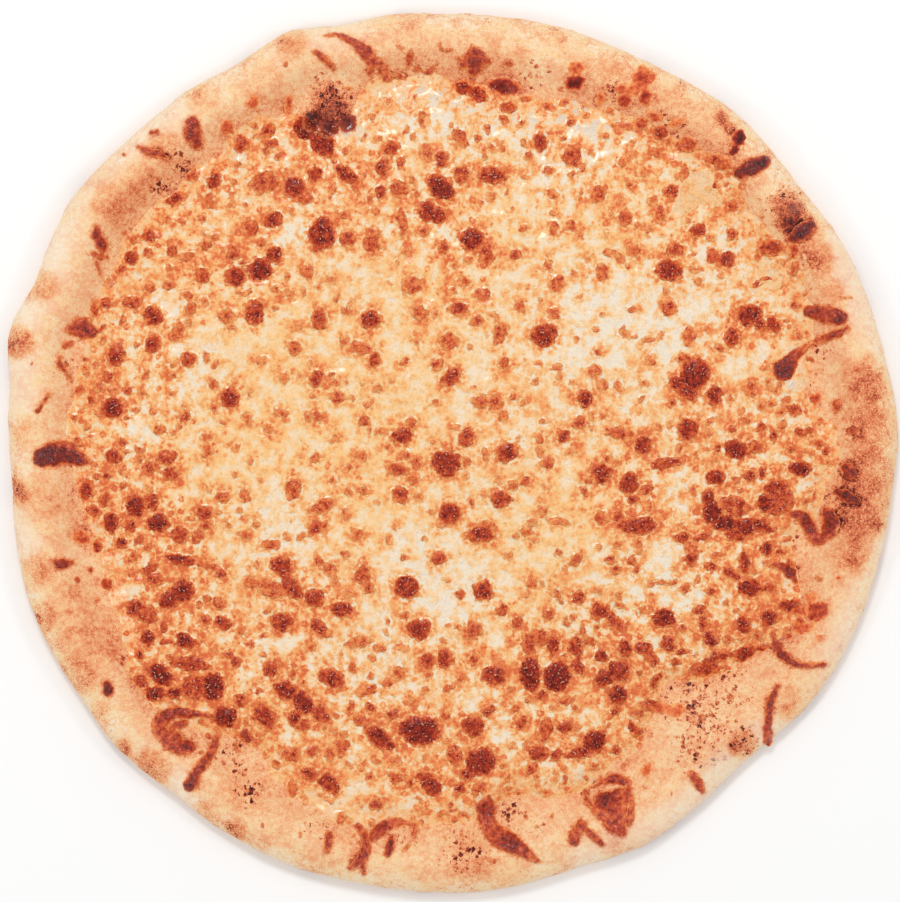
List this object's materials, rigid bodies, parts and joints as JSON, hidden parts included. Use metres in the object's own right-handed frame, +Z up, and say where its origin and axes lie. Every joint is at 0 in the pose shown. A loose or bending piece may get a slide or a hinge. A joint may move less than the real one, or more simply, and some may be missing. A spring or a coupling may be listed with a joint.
{
  "type": "cheese pizza",
  "caption": "Whole round cheese pizza with a puffed rim, a blistered browned cheese sheet and browned flakes of cheese on the rim, without its plate.",
  "frame": {"origin": "on the supporting surface, under the middle of the outline", "axes": "+Z up through the pizza's thickness, +X and +Y in its plane, +Y towards the side with the curled shred on the rim"},
  "size_m": [0.3185, 0.315, 0.0153],
  "materials": {
    "dough": "matte",
    "cheese": "gloss",
    "browned_cheese": "satin"
  },
  "bodies": {
    "root": {"crust": "dough", "cheese": "cheese", "curled_shred_top": "browned_cheese", "short_shred_top": "browned_cheese", "diamond_flake_top": "browned_cheese", "oval_flake_top_right": "browned_cheese", "bead_flake_right": "browned_cheese", "bar_flake_right": "browned_cheese", "long_shred_right": "browned_cheese", "bead_flake_east": "browned_cheese", "oval_flake_east": "browned_cheese", "forked_flake_east": "browned_cheese", "leaf_flake_east": "browned_cheese", "bent_shred_east": "browned_cheese", "edge_shred_south_east": "browned_cheese", "drop_flake_south_east": "browned_cheese", "broad_flake_south": "browned_cheese", "blot_flake_south": "browned_cheese", "sliver_flake_south": "browned_cheese", "tapered_flake_south": "browned_cheese", "sliver_flake_south_west": "browned_cheese", "branched_flake_south_west": "browned_cheese", "drop_flake_south_west": "browned_cheese", "club_shred_south_west": "browned_cheese", "hooked_flake_south_west": "browned_cheese", "bead_flake_south_west": "browned_cheese", "wing_flake_west": "browned_cheese", "great_flake_west": "browned_cheese", "thin_shred_west": "browned_cheese", "crooked_shred_west": "browned_cheese", "ragged_flake_west": "browned_cheese", "leaf_shred_north_west": "browned_cheese", "bowed_shred_north_west": "browned_cheese", "patch_flake_north_west": "browned_cheese"}
  },
  "joints": []
}
